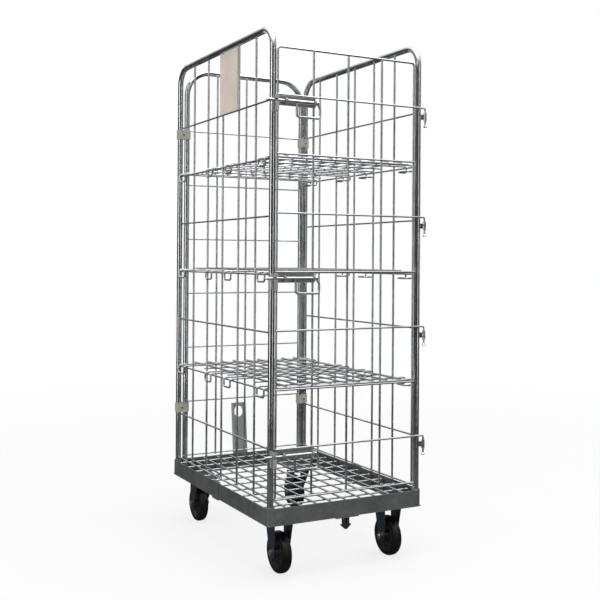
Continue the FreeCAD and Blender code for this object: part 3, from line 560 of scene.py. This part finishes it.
def studio_floor():
    """A pale paper floor that fades into the white background a few metres out."""
    half = 12.0
    glow_share = 0.78
    fade_start, fade_end = 1.2, 4.5
    mesh = bpy.data.meshes.new("floor")
    corners = [(-half, -half, 0), (half, -half, 0), (half, half, 0), (-half, half, 0)]
    mesh.from_pydata(corners, [], [(0, 1, 2, 3)])
    floor = bpy.data.objects.new("floor", mesh)
    bpy.context.scene.collection.objects.link(floor)
    n = Nodes("floor_paper")
    fibre = n.noise(260, 3, 0.6)
    n.two_tone(fibre, grey(0.88), grey(0.94))
    n.surface.inputs["Roughness"].default_value = 0.9
    glow = n.add("ShaderNodeEmission", Color=(1, 1, 1, 1), Strength=1.0)
    lifted = n.add("ShaderNodeMixShader", Fac=glow_share)
    n.link(n.surface, "BSDF", lifted, 1)
    n.link(glow, "Emission", lifted, 2)
    mirrored = n.add("ShaderNodeBsdfDiffuse", Color=(0.10, 0.10, 0.10, 1))
    path = n.add("ShaderNodeLightPath")
    for_rays = n.add("ShaderNodeMixShader")
    n.link(path, "Is Glossy Ray", for_rays, 0)
    n.link(lifted, "Shader", for_rays, 1)
    n.link(mirrored, "BSDF", for_rays, 2)
    distance = n.add("ShaderNodeVectorMath", operation="LENGTH")
    n.link(n.coords, "Object", distance, 0)
    fade = n.grey_range(distance, "Value", 0.0, 1.0, fade_start, fade_end)
    clear = n.add("ShaderNodeBsdfTransparent")
    edge = n.add("ShaderNodeMixShader")
    n.link(fade, "Result", edge, 0)
    n.link(for_rays, "Shader", edge, 1)
    n.link(clear, "BSDF", edge, 2)
    n.link(edge, "Shader", n.out, "Surface")
    mesh.materials.append(n.material)


def area_light(name, place, target, width, height, radiance):
    """A rectangular light of a given brightness, aimed at a target."""
    data = bpy.data.lights.new(name, "AREA")
    data.shape = "RECTANGLE"
    data.size = width
    data.size_y = height
    data.energy = radiance * math.pi * width * height
    light = bpy.data.objects.new(name, data)
    light.location = place
    light.rotation_euler = (Vector(target) - Vector(place)).to_track_quat("-Z", "Y").to_euler()
    bpy.context.scene.collection.objects.link(light)


def studio_world():
    """White to the camera, even and soft for matt surfaces, a dim graded room in reflections."""
    room_levels = [(0.0, 0.05), (0.44, 0.03), (0.56, 0.03), (0.68, 0.20), (0.84, 1.3)]
    world = bpy.context.scene.world or bpy.data.worlds.new("studio")
    bpy.context.scene.world = world
    world.use_nodes = True
    tree = world.node_tree
    tree.nodes.clear()
    out = tree.nodes.new("ShaderNodeOutputWorld")
    path = tree.nodes.new("ShaderNodeLightPath")
    white = tree.nodes.new("ShaderNodeBackground")
    white.inputs["Color"].default_value = (1, 1, 1, 1)
    soft = tree.nodes.new("ShaderNodeBackground")
    soft.inputs["Color"].default_value = (0.62, 0.62, 0.63, 1)
    room = tree.nodes.new("ShaderNodeBackground")
    coords = tree.nodes.new("ShaderNodeTexCoord")
    split = tree.nodes.new("ShaderNodeSeparateXYZ")
    shift = tree.nodes.new("ShaderNodeMapRange")
    shift.inputs["From Min"].default_value = -1
    ramp = tree.nodes.new("ShaderNodeValToRGB")
    tree.links.new(coords.outputs["Generated"], split.inputs["Vector"])
    tree.links.new(split.outputs["Z"], shift.inputs["Value"])
    tree.links.new(shift.outputs["Result"], ramp.inputs["Fac"])
    set_stops(ramp, [(height, (level, level * 1.01, level * 1.04)) for height, level in room_levels])
    tree.links.new(ramp.outputs["Color"], room.inputs["Color"])
    glossy = tree.nodes.new("ShaderNodeMixShader")
    tree.links.new(path.outputs["Is Glossy Ray"], glossy.inputs[0])
    tree.links.new(soft.outputs["Background"], glossy.inputs[1])
    tree.links.new(room.outputs["Background"], glossy.inputs[2])
    seen = tree.nodes.new("ShaderNodeMixShader")
    tree.links.new(path.outputs["Is Camera Ray"], seen.inputs[0])
    tree.links.new(glossy.outputs["Shader"], seen.inputs[1])
    tree.links.new(white.outputs["Background"], seen.inputs[2])
    tree.links.new(seen.outputs["Shader"], out.inputs["Surface"])


def studio_light():
    """A soft box overhead and tall narrow strips that draw highlights down the tubes."""
    middle = (0, 0, 0.9)
    area_light("top_box", (0.2, -0.8, 3.8), middle, 3.0, 2.0, 3.0)
    area_light("left_strip", (-3.8, -1.0, 1.5), middle, 0.75, 3.4, 3.6)
    area_light("front_strip", (0.9, -4.6, 1.5), middle, 0.45, 3.4, 3.4)
    area_light("right_strip", (4.0, -0.6, 1.7), middle, 0.5, 3.2, 2.4)
    area_light("back_strip", (-0.8, 4.4, 1.7), middle, 0.6, 3.0, 2.0)
    bpy.context.scene.view_settings.view_transform = "Standard"


def photo_camera():
    """A level camera to the front left of the cage, its frame shifted down."""
    place = (-1.5436, -2.9613, 0.9784)
    yaw = math.radians(28.11)
    level = math.radians(90)
    roll = math.radians(0.38)
    data = bpy.data.cameras.new("camera")
    data.lens = 56.6
    data.sensor_width = 36.0
    data.shift_y = -0.066
    camera = bpy.data.objects.new("camera", data)
    camera.matrix_world = (Matrix.Translation(place) @ Matrix.Rotation(-yaw, 4, "Z")
                           @ Matrix.Rotation(level, 4, "X") @ Matrix.Rotation(roll, 4, "Z"))
    bpy.context.scene.collection.objects.link(camera)
    bpy.context.scene.camera = camera


studio_floor()
studio_world()
studio_light()
photo_camera()
